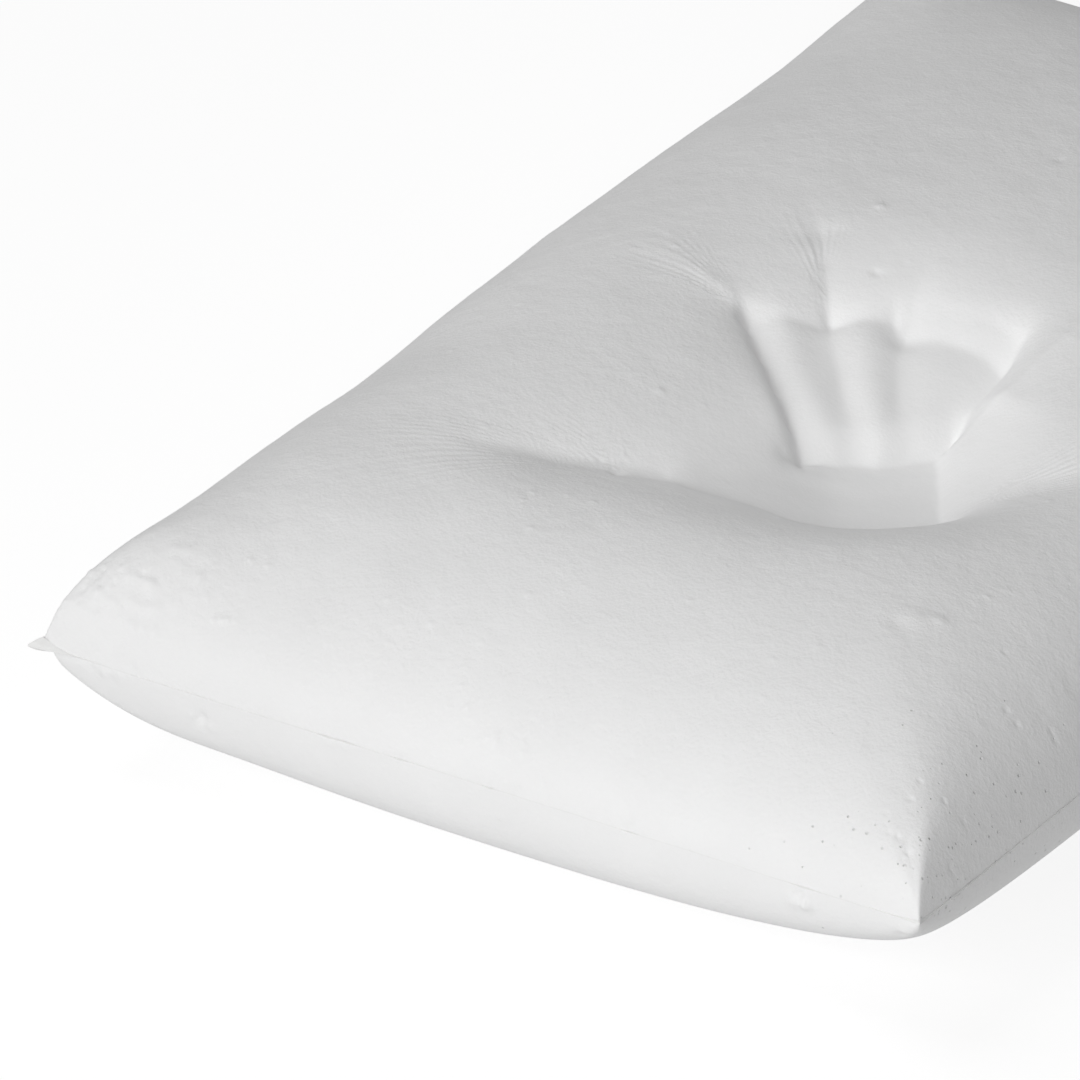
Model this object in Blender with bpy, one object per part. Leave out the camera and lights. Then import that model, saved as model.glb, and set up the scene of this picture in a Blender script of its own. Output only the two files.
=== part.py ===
"""Moulded slow-recovery foam pillow with a hand pressed into its top.

A one-piece foam moulding, 645 x 400 x 120 mm.  It swells from a rectangular parting line, where the
two mould halves met, and it still carries the thin foam flash that squeezed out between them: a
fin along each side and a pointed web at each corner.

Frame: origin at the bottom centre, +X along the length, +Y across the width, +Z up, in metres.
"""
import math

import bmesh
import bpy
import numpy as np

# Overall moulding
LENGTH = 0.645
WIDTH = 0.400
PARTING_HEIGHT = 0.052
UPPER_RISE = 0.068
LOWER_SWELL = 0.0597

# Exponents of the swelling profiles: height = (1 - |u| ** FULLNESS) ** (1 / ROUNDNESS)
UPPER_LENGTH_FULLNESS = 2.86
UPPER_WIDTH_FULLNESS = 2.66
UPPER_ROUNDNESS = 1.95
UPPER_RIDGE_SHARPNESS = 7.1
LOWER_LENGTH_FULLNESS = 5.8
LOWER_LENGTH_ROUNDNESS = 2.755
LOWER_WIDTH_FULLNESS = 2.544
LOWER_WIDTH_ROUNDNESS = 2.68

# Hand imprint: the fingers point along +X, turned by HAND_TURN towards +Y
HAND_TURN = math.radians(32.5)
KNUCKLES = np.array([-0.065, -0.015])
PALM_BACK = 0.062
PALM_LEFT = 0.036
PALM_RIGHT = -0.020
PALM_RADIUS = 0.012
PALM_DEPTH = 0.038
# Each finger: how far left its root lies, then how far forward and left its tip lies
FINGERS = (
    (0.016, 0.064, 0.030),
    (-0.003, 0.066, 0.002),
    (-0.016, 0.056, -0.022),
    (-0.026, 0.036, -0.042),
)
FINGER_RADIUS = 0.007
FINGER_ROOT_DEPTH = 0.030
FINGER_TIP_DEPTH = 0.018
# Thumb and heel of the hand: forward and left of the inner end, then of the outer end
THUMB_INNER = (-0.048, 0.050)
THUMB_OUTER = (-0.052, 0.115)
HEEL_INNER = (-0.050, -0.028)
HEEL_OUTER = (-0.056, -0.090)
SIDE_RADIUS = 0.006
SIDE_INNER_DEPTH = 0.026
SIDE_OUTER_DEPTH = 0.008
DEEPEST = 0.050
SAG_REACH = 0.034
PAD_BLEND = 5.0
RIM_HOLD = 6.0

# Flash round the parting line
FLASH_GAP = 0.0003
FIN_WIDTH = 0.0012
FIN_THICKNESS = 0.0010
WEB_LEG = 0.022
WEB_REACH = 0.0056
WEB_THICKNESS = 0.0012

# Mesh lines of the moulding
LENGTH_CELLS = 56
WIDTH_CELLS = 40
EVEN_WEIGHT = 0.3
HAND_WEIGHT = 1.5
HAND_SPREAD = 0.25
SHARP_ANGLE = math.radians(50)
FLOOR_TOLERANCE = 1e-6

FOAM_COLOUR = (0.86, 0.86, 0.86, 1.0)
FLASH_COLOUR = (0.80, 0.80, 0.79, 1.0)


def clear_scene():
    for item in list(bpy.data.objects):
        bpy.data.objects.remove(item)


def foam_material(name, colour, roughness):
    material = bpy.data.materials.new(name)
    material.use_nodes = True
    shader = material.node_tree.nodes["Principled BSDF"]
    shader.inputs["Base Color"].default_value = colour
    shader.inputs["Roughness"].default_value = roughness
    shader.inputs["Metallic"].default_value = 0.0
    return material


def swell(u, fullness, roundness):
    """Rise of a moulded half, 0 at the parting line (u = -1 or 1) and 1 in the middle."""
    return np.maximum(1.0 - np.abs(u) ** fullness, 0.0) ** (1.0 / roundness)


def upper_height(u, v):
    """Height over the parting line: the lower of two arches, blended along their ridge."""
    sharpness = UPPER_RIDGE_SHARPNESS
    smallest = 1e-9
    along = np.maximum(swell(u, UPPER_LENGTH_FULLNESS, UPPER_ROUNDNESS), smallest)
    across = np.maximum(swell(v, UPPER_WIDTH_FULLNESS, UPPER_ROUNDNESS), smallest)
    joined = (along ** -sharpness + across ** -sharpness) ** (-1.0 / sharpness)
    return UPPER_RISE * 2.0 ** (1.0 / sharpness) * joined


def lower_depth(u, v):
    """Depth under the parting line, cut flat where the pillow rests."""
    along = swell(u, LOWER_LENGTH_FULLNESS, LOWER_LENGTH_ROUNDNESS)
    across = swell(v, LOWER_WIDTH_FULLNESS, LOWER_WIDTH_ROUNDNESS)
    return np.minimum(LOWER_SWELL * along * across, PARTING_HEIGHT)


def hand_point(forward, left):
    """Plan position of a point on the hand, measured from the middle of the knuckles."""
    ahead = np.array([math.cos(HAND_TURN), math.sin(HAND_TURN)])
    aside = np.array([-ahead[1], ahead[0]])
    return KNUCKLES + forward * ahead + left * aside


def hand_pads():
    """The parts of the hand that press: (start, end, radius, depth at start, depth at end)."""
    pads = []
    for back in (0.0, PALM_BACK / 2, PALM_BACK):
        start = hand_point(-back, PALM_RIGHT)
        end = hand_point(-back, PALM_LEFT)
        pads.append((start, end, PALM_RADIUS, PALM_DEPTH, PALM_DEPTH))
    for root_left, tip_forward, tip_left in FINGERS:
        start = hand_point(0.0, root_left)
        end = hand_point(tip_forward, tip_left)
        pads.append((start, end, FINGER_RADIUS, FINGER_ROOT_DEPTH, FINGER_TIP_DEPTH))
    for inner, outer in ((THUMB_INNER, THUMB_OUTER), (HEEL_INNER, HEEL_OUTER)):
        start = hand_point(*inner)
        end = hand_point(*outer)
        pads.append((start, end, SIDE_RADIUS, SIDE_INNER_DEPTH, SIDE_OUTER_DEPTH))
    return pads


def pad_depth(x, y, pad):
    """How far one pad draws the surface down, fading over SAG_REACH outside the pad."""
    start, end, radius, start_depth, end_depth = pad
    axis = end - start
    along = ((x - start[0]) * axis[0] + (y - start[1]) * axis[1]) / np.dot(axis, axis)
    along = np.clip(along, 0.0, 1.0)
    distance = np.hypot(x - start[0] - along * axis[0], y - start[1] - along * axis[1])
    depth = start_depth + (end_depth - start_depth) * along
    return depth * np.exp(-np.maximum(distance - radius, 0.0) / SAG_REACH)


def imprint_depth(x, y):
    """Depth of the whole hand imprint, softly limited and held back at the moulding's rim."""
    total = sum(pad_depth(x, y, pad) ** PAD_BLEND for pad in hand_pads())
    depth = (total / (1.0 + total / DEEPEST ** PAD_BLEND)) ** (1.0 / PAD_BLEND)
    u = 2.0 * x / LENGTH
    v = 2.0 * y / WIDTH
    return depth * (1.0 - np.abs(u) ** RIM_HOLD) * (1.0 - np.abs(v) ** RIM_HOLD)


def mesh_lines(cells, focus):
    """Positions from -1 to 1, closer together at the rim and at the hand."""
    samples = 4001
    near_rim = 1e-5
    u = np.linspace(-1.0, 1.0, samples)
    rim_weight = 1.0 / np.sqrt(1.0 + near_rim - u ** 2)
    hand_weight = HAND_WEIGHT * np.exp(-((u - focus) / HAND_SPREAD) ** 2)
    weight = EVEN_WEIGHT + rim_weight + hand_weight
    steps = (weight[1:] + weight[:-1]) / 2
    running = np.concatenate(([0.0], np.cumsum(steps)))
    return np.interp(np.linspace(0.0, running[-1], cells + 1), running, u)


def add_skin(mesh, u_lines, v_lines, rim, height):
    """One half of the moulding as a grid that shares its rim vertices with the other half."""
    last_row = len(u_lines) - 1
    last_column = len(v_lines) - 1
    grid = {}
    for row, u in enumerate(u_lines):
        for column, v in enumerate(v_lines):
            on_rim = row in (0, last_row) or column in (0, last_column)
            if on_rim and (row, column) in rim:
                grid[row, column] = rim[row, column]
                continue
            place = (u * LENGTH / 2, v * WIDTH / 2, height[row, column])
            grid[row, column] = mesh.verts.new(place)
            if on_rim:
                rim[row, column] = grid[row, column]
    faces = []
    for row in range(last_row):
        for column in range(last_column):
            ring = [(row, column), (row + 1, column), (row + 1, column + 1), (row, column + 1)]
            faces.append(mesh.faces.new([grid[place] for place in ring]))
    return faces


def build_foam_core(material):
    focus = hand_point(0.0, 0.0)
    u_lines = mesh_lines(LENGTH_CELLS, 2.0 * focus[0] / LENGTH)
    v_lines = mesh_lines(WIDTH_CELLS, 2.0 * focus[1] / WIDTH)
    u, v = np.meshgrid(u_lines, v_lines, indexing="ij")
    imprint = imprint_depth(u * LENGTH / 2, v * WIDTH / 2)
    top = PARTING_HEIGHT + upper_height(u, v) - imprint
    bottom = PARTING_HEIGHT - lower_depth(u, v)
    mesh = bmesh.new()
    rim = {}
    add_skin(mesh, u_lines, v_lines, rim, top)
    underside = add_skin(mesh, u_lines, v_lines, rim, bottom)
    bmesh.ops.reverse_faces(mesh, faces=underside)
    resting = [face for face in underside if max(vert.co.z for vert in face.verts) < FLOOR_TOLERANCE]
    inner_edges = [edge for edge in {edge for face in resting for edge in face.edges}
                   if all(face in resting for face in edge.link_faces)]
    bmesh.ops.dissolve_edges(mesh, edges=inner_edges, use_verts=True)
    return add_object("foam_core", mesh, material)


def add_object(name, mesh, material):
    data = bpy.data.meshes.new(name)
    bmesh.ops.recalc_face_normals(mesh, faces=mesh.faces)
    mesh.to_mesh(data)
    mesh.free()
    data.shade_smooth()
    data.set_sharp_from_angle(angle=SHARP_ANGLE)
    data.materials.append(material)
    item = bpy.data.objects.new(name, data)
    bpy.context.collection.objects.link(item)
    return item


def extrude_outline(outline, low, high):
    """A closed plate between two heights, from its outline in plan."""
    mesh = bmesh.new()
    base = mesh.faces.new([mesh.verts.new((x, y, low)) for x, y in outline])
    grown = bmesh.ops.extrude_face_region(mesh, geom=[base])
    raised = [item for item in grown["geom"] if isinstance(item, bmesh.types.BMVert)]
    bmesh.ops.translate(mesh, verts=raised, vec=(0.0, 0.0, high - low))
    return mesh


def build_corner_web(name, x_side, y_side, material):
    """Pointed flash web that wraps one corner of the parting line."""
    x = LENGTH / 2 + FLASH_GAP
    y = WIDTH / 2 + FLASH_GAP
    outline = [
        (x, y),
        (x, y - WEB_LEG),
        (x + FIN_WIDTH, y - WEB_LEG),
        (x + WEB_REACH, y + WEB_REACH),
        (x - WEB_LEG, y + FIN_WIDTH),
        (x - WEB_LEG, y),
    ]
    placed = [(x_side * across, y_side * along) for across, along in outline]
    low = PARTING_HEIGHT - WEB_THICKNESS / 2
    mesh = extrude_outline(placed, low, low + WEB_THICKNESS)
    return add_object(name, mesh, material)


def build_edge_fin(name, along_x, side, material):
    """Flash fin along one side: a long wedge with its thin edge outwards."""
    half_run = (LENGTH if along_x else WIDTH) / 2 - WEB_LEG
    offset = (WIDTH if along_x else LENGTH) / 2 + FLASH_GAP
    section = [
        (offset, PARTING_HEIGHT - FIN_THICKNESS / 2),
        (offset + FIN_WIDTH, PARTING_HEIGHT),
        (offset, PARTING_HEIGHT + FIN_THICKNESS / 2),
    ]
    mesh = bmesh.new()
    rings = []
    for run in (-half_run, half_run):
        ring = []
        for out, height in section:
            place = (run, side * out, height) if along_x else (side * out, run, height)
            ring.append(mesh.verts.new(place))
        mesh.faces.new(ring)
        rings.append(ring)
    for index in range(len(section)):
        after = (index + 1) % len(section)
        first, second = rings
        mesh.faces.new([first[index], first[after], second[after], second[index]])
    return add_object(name, mesh, material)


def main():
    clear_scene()
    foam = foam_material("moulded_foam", FOAM_COLOUR, 0.75)
    flash = foam_material("flash_film", FLASH_COLOUR, 0.65)
    build_foam_core(foam)
    sides = (("front", -1), ("back", 1))
    ends = (("left", -1), ("right", 1))
    for end_name, x_side in ends:
        for side_name, y_side in sides:
            build_corner_web(f"corner_flash_{side_name}_{end_name}", x_side, y_side, flash)
    for side_name, y_side in sides:
        build_edge_fin(f"edge_flash_{side_name}", True, y_side, flash)
    for end_name, x_side in ends:
        build_edge_fin(f"edge_flash_{end_name}", False, x_side, flash)


main()
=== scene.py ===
"""Looks of a moulded memory foam pillow: dented foam, flash, skin and studio round the fixed frame."""

import math

import bmesh
import bpy
import numpy as np
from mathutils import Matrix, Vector


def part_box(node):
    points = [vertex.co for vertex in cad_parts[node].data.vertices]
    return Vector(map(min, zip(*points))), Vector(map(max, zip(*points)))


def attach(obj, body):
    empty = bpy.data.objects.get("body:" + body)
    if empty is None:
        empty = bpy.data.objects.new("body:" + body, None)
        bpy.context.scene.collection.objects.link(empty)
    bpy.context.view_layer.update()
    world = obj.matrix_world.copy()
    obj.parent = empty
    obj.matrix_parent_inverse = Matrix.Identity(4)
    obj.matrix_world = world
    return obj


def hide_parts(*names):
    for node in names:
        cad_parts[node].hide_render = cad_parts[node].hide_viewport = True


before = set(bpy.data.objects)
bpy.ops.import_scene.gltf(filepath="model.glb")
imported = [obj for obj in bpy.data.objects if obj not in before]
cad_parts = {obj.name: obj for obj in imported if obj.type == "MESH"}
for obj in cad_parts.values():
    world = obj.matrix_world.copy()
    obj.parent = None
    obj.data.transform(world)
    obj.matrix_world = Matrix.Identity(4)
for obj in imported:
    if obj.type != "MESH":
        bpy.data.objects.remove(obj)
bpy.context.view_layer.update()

MM = 0.001

# ---------------------------------------------------------------- sizes from the frame
CORE_LOW, CORE_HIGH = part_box("foam_core")
FIN_LOW, FIN_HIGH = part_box("edge_flash_left")
LENGTH = CORE_HIGH[0] - CORE_LOW[0]
WIDTH = CORE_HIGH[1] - CORE_LOW[1]
PARTING = (FIN_LOW[2] + FIN_HIGH[2]) / 2

# ---------------------------------------------------------------- the unpressed moulding
UPPER_RISE = 68 * MM
UPPER_LENGTH_FULLNESS = 2.86
UPPER_WIDTH_FULLNESS = 2.66
UPPER_ROUNDNESS = 1.95
UPPER_RIDGE_SHARPNESS = 7.1

# The rounding of the four corner ridges: its radius, never more than a share of the way to the
# parting line, and how far to each side of the ridge it is felt, in radii and at the least
RIDGE_ROUNDING = 8 * MM
RIDGE_ROUNDING_SHARE = 0.5
RIDGE_SAMPLES = 12
RIDGE_REACH = 1.5
RIDGE_LEAST_REACH = 0.3 * MM

LOWER_SWELL = 59.7 * MM
LOWER_LENGTH_FULLNESS = 5.8
LOWER_LENGTH_ROUNDNESS = 2.755
LOWER_WIDTH_FULLNESS = 2.544
LOWER_WIDTH_ROUNDNESS = 2.68
LOWER_RINGS = 76
LOWER_INNERMOST = 0.35

# Broad departures from the ideal moulding in millimetres: (x, y, radius, height)
UPPER_SWELLS = ((-300, 174, 38, 5.4), (-110, 165, 46, -4.2), (185, 165, 70, -4.2), (-322, 60, 60, 0.8))
LOWER_SWELLS = ((-312, 172, 42, 4.2), (-250, 195, 60, 1.5))
SWELL_FADE = 6 * MM

# Soft lumps of the moulded skin: (distance between them in mm, height in mm)
LUMPS = ((38, 0.45), (13, 0.16), (5, 0.07))
LUMP_FADE = 9 * MM
LUMP_SEED = 20

# The upper half's small overhang along the parting line, widest by the pointed tab
LIP = 0.07 * MM
LIP_DROP = 0.08 * MM
LIP_WAVINESS = 0.5
LIP_WAVES = (11 * MM, 29 * MM)
LIP_AT_TAB = 1.9 * MM
LIP_TAB_REACH = 38 * MM
TAB_CORNER = (-1.0, 1.0)

# ---------------------------------------------------------------- hand
# The hand's frame starts at the knuckles, and measures ahead along the fingers and to the left
HAND_TURN = math.radians(32.5)
KNUCKLES_FROM_END = 257.3 * MM
KNUCKLES = (KNUCKLES_FROM_END - LENGTH / 2, -14.6 * MM)
AHEAD = np.array([math.cos(HAND_TURN), math.sin(HAND_TURN)])
LEFT = np.array([-AHEAD[1], AHEAD[0]])

# Height given to places that the hand doesn't touch
FREE = 1.0

# The palm's near edge: its place, and how it sweeps ahead on the right and on the left
PALM_NEAR = -68 * MM
PALM_NEAR_ROUNDING = 15 * MM
PALM_NEAR_RIGHT_SLOPE = 0.45
PALM_NEAR_SWEEP = 13 * MM
PALM_NEAR_SWEEP_END = 45 * MM
PALM_NEAR_LEFT_SLOPE = 0.35
PALM_NEAR_LEFT_START = 66 * MM

# The palm's sides, its level, its ramp up to the thumb, its tilt ahead and its rounded near edge
PALM_RIGHT = -31 * MM
PALM_LEFT = 108 * MM
PALM_LEVEL = 75 * MM
PALM_RAMP = 0.36
PALM_RAMP_START = 12 * MM
PALM_RAMP_BLEND = 6 * MM
PALM_TILT = 0.10
PALM_TILT_SIDE = (10 * MM, 60 * MM)
PALM_EDGE_RADIUS = 8 * MM
PALM_EDGE_RISE = 0.6
PALM_OVERLAP = 1 * MM

# The root of the thumb, which bounds the palm ahead on the left
THUMB_ROOT = 28 * MM
THUMB_ROOT_SLANT = 0.5
THUMB_ROOT_RISE = 9 * MM
THUMB_ROOT_BLEND = 14 * MM

# Round limbs beside the palm, in millimetres in the hand's frame: (start, end, radius, level at
# start, level at end), and how much higher a limb's side is than its lowest line
THUMB = ((-46, 78), (-38, 150), 6, 96, 107)
HEEL = ((-50, -26), (-58, -100), 9, 84, 105)
LIMB_ROUNDING = 5

# The step from the palm up to the fingers, whose foot leans and waves: (height in mm, length in mm,
# phase)
STEP_LEAN = -0.2
STEP_WAVES = ((1.1, 7, 0.0), (0.7, 3.1, 1.0))
STEP_RISE = 11.5 * MM
STEP_SLOPE = 1.15
STEP_BLEND = 5 * MM

# The beds of the fingers, from left to right. Each lies between two lines that fan out from the
# knuckles, (place at the knuckles, slope), and has a far end that may fall back to the right.
FINGER_LINES = (
    (26.4 * MM, 0.28),
    (3.0 * MM, 0.14),
    (-15.0 * MM, 0.0),
    (-31.5 * MM, -0.62),
)
FINGER_ENDS = (70 * MM, 73 * MM, 67 * MM)
FINGER_END_DROPS = (0.0, 0.0, 26 * MM)
FINGER_END_CURVE = 1.3
BED_SLOPE = 0.22
TIP_SLOPES = (0.95, 0.95, 0.55)
TIP_RAMP = 13 * MM

# The rib that a finger leaves along the middle of its bed: a plain arch and a more peaked one
RIB_HEIGHT = 3.0 * MM
RIB_PLAIN_SHARE = 0.4
RIB_PEAKED_SHARE = 0.6
RIB_FADE_IN = 30 * MM

# ---------------------------------------------------------------- pressing
# Elastic skin on a soft bed, at three reaches: the wide sag, the middle slopes and the walls
PRESS_CELL = 1.5 * MM
SAG_REACH = 62 * MM
SAG_ROUNDS = 2400
MIDDLE_REACH = 15 * MM
MIDDLE_ROUNDS = 400
WALL_REACH = 2.5 * MM
WALL_ROUNDS = 100
MIDDLE_BLEND = 8 * MM
WALL_BLEND = 2 * MM
SKIN_BLUR_CELLS = 0.9

# Share of the full depth that the two gentler reaches take, at the fan of fingers and at its sides;
# the sag takes the whole depth at the palm
SAG_SHARE = 0.62
SAG_SHARE_AT_LEFT = 0.05
SAG_SHARE_AT_RIGHT = 0.23
MIDDLE_SHARE = 0.97
MIDDLE_LOSS_AT_LEFT = 0.19

# Where those places begin and end in the hand's frame; a slope makes a zone's bounds fan out
PALM_ZONE = (10 * MM, -25 * MM)
LEFT_ZONE = (-5 * MM, 27 * MM)
LEFT_ZONE_SLOPE = 0.29
RIGHT_ZONE = (-12 * MM, -30 * MM)
RIGHT_ZONE_SLOPE = -0.62
RIGHT_ZONE_FADE = (60 * MM, 25 * MM)

# Creases and ridges in the hand's frame, in millimetres:
# (start, end, height at start, height at end, width on the left, width on the right)
FOLDS = (
    ((2, -33), (17, -54), 0.8, 1.5, 2, 14),
    ((17, -54), (40, -80), 2.2, 3.0, 9, 16),
    ((46.6, -87.5), (80, -125), 2.8, 0.3, 9, 16),
    ((74, 12), (120, 16), -4.4, -1.2, 7, 13),
    ((120, 16), (147, 23), -1.2, -0.2, 7, 9),
    ((64, -17), (100, -27), -2.8, -0.4, 6, 10),
    ((-4, 25.2), (66, 44.6), -4.0, -3.0, 3.8, 2.2),
    ((-4, 30.0), (66, 49.4), 0.8, 0.8, 4.0, 2.0),
    ((76, 50), (112, 81), 1.2, 0.5, 2.5, 10),
)
FOLD_END_FADE = 6 * MM

# Wrinkles that spread from a point, in the hand's frame: (ahead, left) of the point, direction and
# half spread in degrees, wrinkles per turn, reach in mm, height in mm
FANS = (
    ((-47, 90), 44, 58, 110, 30, 0.24),
    ((-47, 92), 88, 30, 130, 78, 0.20),
    ((66, 45), 36, 26, 88, 46, 0.24),
    ((-52, -38), -84, 34, 100, 56, 0.32),
    ((72, 14), 4, 20, 84, 44, 0.26),
)

# Painted light, a lighter skin tone, and a calmer grain: where the imprint is deep, and on a patch
# beyond the fingertips
PAINTED_LIGHT_AND_SMOOTHING_DEPTHS = (10 * MM, 26 * MM)
PAINTED_LIGHT_AND_SMOOTHING_PATCH = (95 * MM, -18 * MM)
PAINTED_LIGHT_AND_SMOOTHING_PATCH_SIZE = (42 * MM, 48 * MM)

# ---------------------------------------------------------------- blemishes
# Pits, blisters and burrs of the moulded skin in millimetres: (x, y, z, radius, height)
BLEMISHES = (
    (127, 13, 117, 2.0, -0.7), (56, 52, 117, 2.2, 0.7), (16, 29, 114, 2.4, -0.8),
    (-104, 54, 110, 1.8, 0.7), (-155, 40, 106, 3.0, -1.0),
    (-205, -127, 107, 6.0, 0.75), (-213, -122, 107, 4.0, -0.55), (-200, -134, 107, 3.0, 0.60),
    (-307, 130, 77, 1.3, 0.6), (-306, 127, 77, 1.3, 0.7), (-306, 124, 78, 1.3, 0.7),
    (-305, 121, 78, 1.2, 0.5),
    (-322, 67, 50, 2.6, 0.9), (-322, 60, 50, 2.2, 0.7), (-322, 35, 54, 2.4, 0.8),
    (-322, -6, 54, 2.2, 0.8), (-320, -28, 60, 2.2, -1.0),
    (-321, -69, 56, 2.2, 1.2), (-321, -74, 55, 2.6, 0.6),
    (-321, 127, 41, 3.2, -1.8), (-321, 131, 42, 2.0, 0.9), (-321, 124, 39, 1.8, 0.7),
    (-322, -149, 45, 2.6, 2.2), (-322, -144, 44, 3.0, 1.2), (-321, -146, 48, 2.0, -1.3),
    (-298, -200, 55, 3.0, 0.8), (-290, -200, 54, 2.4, 0.6),
    (-321, -195, 46, 4.0, 1.0), (-319, -190, 43, 2.6, -0.9),
)
# Patches of small pits and blisters in millimetres: (x, y, z, spread, count, radius, height, seed)
PATCHES = (
    (-315, 176, 68, 24, 60, 2.0, 0.42, 1),
    (-315, 176, 68, 24, 44, 1.4, -0.45, 8),
    (-303, 158, 84, 22, 22, 2.2, 0.24, 9),
    (-321, -14, 58, 20, 30, 1.3, 0.40, 11),
    (-306, 80, 76, 70, 16, 1.5, 0.25, 2),
    (-292, -190, 74, 24, 12, 1.1, -0.50, 3),
    (-322, 0, 56, 150, 30, 1.2, 0.35, 5),
    (-230, -196, 66, 60, 12, 1.1, -0.45, 6),
    (-120, 0, 112, 200, 40, 1.2, 0.30, 7),
)
PATCH_SCALES = (0.6, 1.3)

# Where the skin is full of pinholes, in millimetres: (x, y, z, spread, share)
PITTED = (
    (-300, -192, 66, 22, 0.75), (-322, -160, 62, 22, 0.4), (-250, -200, 60, 34, 0.5),
)

# A blemish moves the skin by no more than this share of the way to the rim or to the flash
BLEMISH_PUSH_SHARE = 0.5
FLASH_CLEARANCE = 2 * MM

# ---------------------------------------------------------------- mesh of the moulding
# Distance between its lines over the imprint's end and elsewhere, and where the coarser end begins
FULL_STEPS = (0.85 * MM, 2.2 * MM)
DETAIL_PAST_KNUCKLES = 150 * MM
DETAIL_FADE = 30 * MM

# ---------------------------------------------------------------- flash
FLASH_GAP = 0.06 * MM
STATION = 1.5 * MM

# Half of the film's thickness at its root, in its middle and at its outer edge, as a share of the
# thickness at its root
ROOT_HALF = 0.5
MIDDLE_HALF = 0.34
OUTER_HALF = 0.08
SHARP_ANGLE = math.radians(60)

# Slow waves of its outline: lengths in millimetres, and how the shorter ones shrink
WAVE_LENGTHS = (61, 23, 9, 4)
WAVE_SHRINK = 0.3
WAVE_GAIN = 0.6
LAST_PHASE = 6.28

# Each side: (node, whether it runs along x, the side it is on)
SIDES = (
    ("edge_flash_left", False, -1),
    ("edge_flash_right", False, 1),
    ("edge_flash_front", True, -1),
    ("edge_flash_back", True, 1),
)

# How wide a side's fin is in millimetres: everywhere, and what its waves add
FIN_LEAST_WIDTH = 0.05
FIN_WIDTHS = {
    "edge_flash_left": 0.25,
    "edge_flash_front": 0.9,
    "edge_flash_back": 0.6,
    "edge_flash_right": 0.4,
}

# How its height waves in millimetres, and how thick it is: everywhere, and for each bit of width
FIN_WAVE_HEIGHT = 0.35
FIN_DROP = 0.20
FIN_LEAST_THICKNESS = 0.18 * MM
FIN_THICKENING = 0.5
FIN_SEED = 10
FIN_HEIGHT_SEED = 50

# Burrs along a side in millimetres: (place along the side, half length, extra width)
BURRS = {
    "edge_flash_left": (
        (67, 5, 0.9), (58, 3, 0.7), (35, 3, 0.8), (-6, 2.5, 0.8), (-69, 4, 0.5), (-149, 5, 0.6),
    ),
    "edge_flash_front": ((-298, 4, 1.0), (-286, 6, 0.7), (-262, 9, 0.4), (-214, 4, 0.5), (40, 6, 0.6)),
    "edge_flash_back": ((-180, 6, 0.6), (90, 4, 0.8)),
    "edge_flash_right": ((-90, 5, 0.7), (20, 4, 0.6), (110, 3, 0.9)),
}

# Each corner's web: (side in x, side in y, reach in millimetres, how torn its edge is)
WEBS = {
    "corner_flash_back_left": (-1, 1, 5.4, 0.06),
    "corner_flash_front_left": (-1, -1, 1.6, 0.5),
    "corner_flash_back_right": (1, 1, 4.2, 0.2),
    "corner_flash_front_right": (1, -1, 3.0, 0.35),
}
WEB_LEG = 22 * MM
WEB_SINK = 0.3 * MM
WEB_STATIONS = 65

# A web's width, lift and thickness: at the ends of its legs in millimetres, and the shares of its
# reach that are added towards the tip
WEB_LEAST_WIDTH = 0.55
WEB_POINTEDNESS = 2.5
WEB_TEAR_RUN = 60 * MM
WEB_LEAST_LIFT = 0.10
WEB_TIP_LIFT = 0.16
WEB_LEAST_THICKNESS = 0.3
WEB_TIP_THICKNESS = 1.15
WEB_SEED = 30

# ---------------------------------------------------------------- materials
# Where most of a noise texture's values lie
NOISE_VALUES = (0.3, 0.7)

FOAM_TONE = (0.875, 0.875, 0.875)
# The next tone is painted light, for the deep imprint and a patch past the fingertips
PAINTED_LIGHT_TONE = (0.97, 0.97, 0.97)
CLOUD_SCALE = 26.0
CLOUD_SHARES = (0.11, 0.33)
# How far the painted light moves the tone towards the lighter one
PAINTED_LIGHT_SHARE = 0.75
GRAIN_SCALE = 640.0
GRAIN_HEIGHT = 0.24 * MM
CREASE_SCALE = GRAIN_SCALE / 3.2
CREASE_WEIGHT = 1.6
PRESSED_CALM = 0.5
FOAM_ROUGHNESS = (0.62, 0.80)
FOAM_SPECULAR = 0.3

# Darker tone painted into the pinholes: painted shade
PAINTED_PIT_SHADE = (0.70, 0.70, 0.70)
PIT_CELLS = 340.0
PIT_SIZES = (0.14, 0.28)
PIT_DEPTH = 0.6 * MM

FILM_DARK_TONE = (0.80, 0.80, 0.79)
FILM_LIGHT_TONE = (0.90, 0.90, 0.895)
FILM_CLOUD_SCALE = 180.0
FILM_GRAIN_SCALE = 900.0
FILM_GRAIN_HEIGHT = 0.15 * MM
FILM_ROUGHNESS = (0.5, 0.7)

# ---------------------------------------------------------------- studio
WHITE = (1.0, 1.0, 1.0, 1.0)
AMBIENT = 0.29

# The floor's own tone, and how it glows: for the camera, and as it lights the pillow
FLOOR_SIZE = 40.0
FLOOR_TONE = 0.35
FLOOR_GLOW = 0.76
FLOOR_BOUNCE = 0.38

# Soft boxes: (name, compass direction and height in degrees, power in watts)
SOFT_BOXES = (
    ("key", 182.5, 22.0, 36.5),
    ("top_fill", 97.5, 62.0, 15.5),
)
LIGHT_DISTANCE = 2.8
LIGHT_SIZE = 1.6
LIGHTS_AIM = (0.25 - LENGTH / 2, 0.0, 0.08)

# A soft spot that opens up the imprint; it aims at a place ahead and to the right of the knuckles
ACCENT_POWER = 150.0
ACCENT_CONE = math.radians(4.7)
ACCENT_RADIUS = 0.25
ACCENT_COMPASS = 212.5
ACCENT_HEIGHT = 28.0
ACCENT_AHEAD = 75 * MM
ACCENT_RIGHT = 20 * MM
ACCENT_LIFT = 40 * MM

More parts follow.
